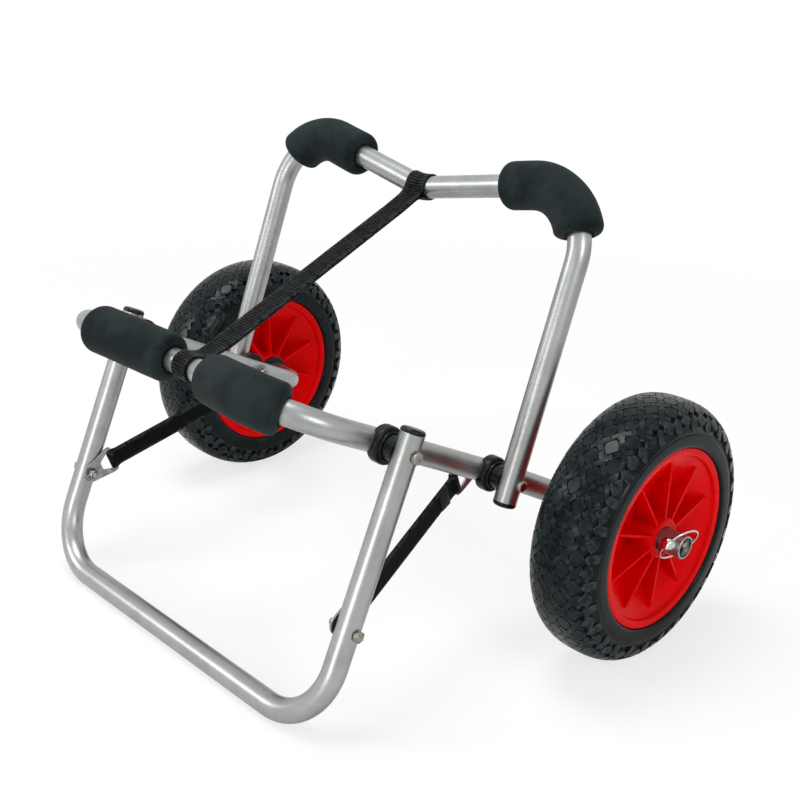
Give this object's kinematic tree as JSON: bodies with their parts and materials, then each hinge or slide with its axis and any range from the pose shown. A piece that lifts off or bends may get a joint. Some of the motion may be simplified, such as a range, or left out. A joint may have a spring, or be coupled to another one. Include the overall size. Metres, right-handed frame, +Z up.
{
  "type": "kayak cart",
  "caption": "Folding two-wheel cart that carries a kayak's hull in a padded tube cradle, with a strap between the bars, a kickstand and lift-off wheels.",
  "frame": {"origin": "on the ground, under the middle of the cart's outer box, as it stands on its wheels and kickstand", "axes": "+Z up, +X along the axle to the cart's right, +Y towards the wheels and the rear arch; the kickstand is on the -Y side"},
  "size_m": [0.6912, 0.4602, 0.4415],
  "materials": {
    "tube": "satin anodised tube",
    "foam": "matt closed-cell foam",
    "black_plastic": "satin moulded nylon",
    "fasteners": "stainless",
    "bracket_plate": "dark coated pressed steel",
    "webbing": "ribbed polypropylene webbing",
    "tyre": "matt moulded rubber with a block tread",
    "rim": "glossy moulded",
    "bright_steel": "bright plated"
  },
  "bodies": {
    "main_frame": {"main_frame_tube": "tube", "front_foam_left": "foam", "front_foam_right": "foam", "arch_arm_saddle_left": "black_plastic", "arch_arm_saddle_right": "black_plastic", "kickstand_arm_saddle_left": "black_plastic", "kickstand_arm_saddle_right": "black_plastic", "arch_bolt_left": "fasteners", "arch_bolt_right": "fasteners", "arch_nut_left": "fasteners", "arch_nut_right": "fasteners", "kickstand_bolt_left": "fasteners", "kickstand_bolt_right": "fasteners", "kickstand_nut_left": "fasteners", "kickstand_nut_right": "fasteners", "arm_bracket_left": "bracket_plate", "arm_bracket_right": "bracket_plate", "limit_strap_left": "webbing", "limit_strap_right": "webbing", "washer_left": "black_plastic", "washer_right": "black_plastic", "cradle_strap": "webbing"},
    "rear_arch": {"arch_tube": "tube", "arch_foam_left": "foam", "arch_foam_right": "foam", "arch_leg_saddle_left": "black_plastic", "arch_leg_saddle_right": "black_plastic", "arch_plug_left": "black_plastic", "arch_plug_right": "black_plastic"},
    "kickstand": {"kickstand_tube": "tube", "kickstand_leg_saddle_left": "black_plastic", "kickstand_leg_saddle_right": "black_plastic", "kickstand_plug_left": "black_plastic", "kickstand_plug_right": "black_plastic", "leg_bracket_left": "bracket_plate", "leg_bracket_right": "bracket_plate", "leg_bracket_bolt_left": "fasteners", "leg_bracket_bolt_right": "fasteners", "leg_bracket_nut_left": "fasteners", "leg_bracket_nut_right": "fasteners"},
    "wheel_left": {"tyre_left": "tyre", "rim_left": "rim", "bush_left": "black_plastic"},
    "wheel_right": {"tyre_right": "tyre", "rim_right": "rim", "bush_right": "black_plastic"},
    "lynch_pin_left": {"lynch_pin_left": "bright_steel"},
    "pin_ring_left": {"pin_ring_left": "bright_steel"},
    "lynch_pin_right": {"lynch_pin_right": "bright_steel"},
    "pin_ring_right": {"pin_ring_right": "bright_steel"}
  },
  "joints": [
    {"name": "arch_fold", "type": "hinge", "parent": "main_frame", "child": "rear_arch", "pos_m": [0, 0.01644, 0.17036], "axis": [1, 0, 0], "range_deg": [0, 68], "deforming": ["cradle_strap"]},
    {"name": "kickstand_fold", "type": "hinge", "parent": "main_frame", "child": "kickstand", "pos_m": [0, -0.11953, 0.23898], "axis": [1, 0, 0], "range_deg": [0, 66], "deforming": ["limit_strap_left", "limit_strap_right"]},
    {"name": "wheel_left_spin", "type": "hinge", "parent": "main_frame", "child": "wheel_left", "pos_m": [0, 0.1033, 0.12652], "axis": [1, 0, 0], "continuous": true},
    {"name": "wheel_right_spin", "type": "hinge", "parent": "main_frame", "child": "wheel_right", "pos_m": [0, 0.1033, 0.12652], "axis": [1, 0, 0], "continuous": true},
    {"name": "lynch_pin_left_slide", "type": "slide", "parent": "main_frame", "child": "lynch_pin_left", "axis": [0, -0.9272, 0.3746], "range_m": [0, 0.009]},
    {"name": "pin_ring_left_flip", "type": "hinge", "parent": "lynch_pin_left", "child": "pin_ring_left", "pos_m": [-0.334, 0.08661, 0.13326], "axis": [-0.5299, 0.3177, 0.7863], "range_deg": [0, 170]},
    {"name": "lynch_pin_right_slide", "type": "slide", "parent": "main_frame", "child": "lynch_pin_right", "axis": [0, -0.9272, 0.3746], "range_m": [0, 0.009]},
    {"name": "pin_ring_right_flip", "type": "hinge", "parent": "lynch_pin_right", "child": "pin_ring_right", "pos_m": [0.334, 0.08661, 0.13326], "axis": [-0.5299, -0.3177, -0.7863], "range_deg": [0, 170]}
  ]
}
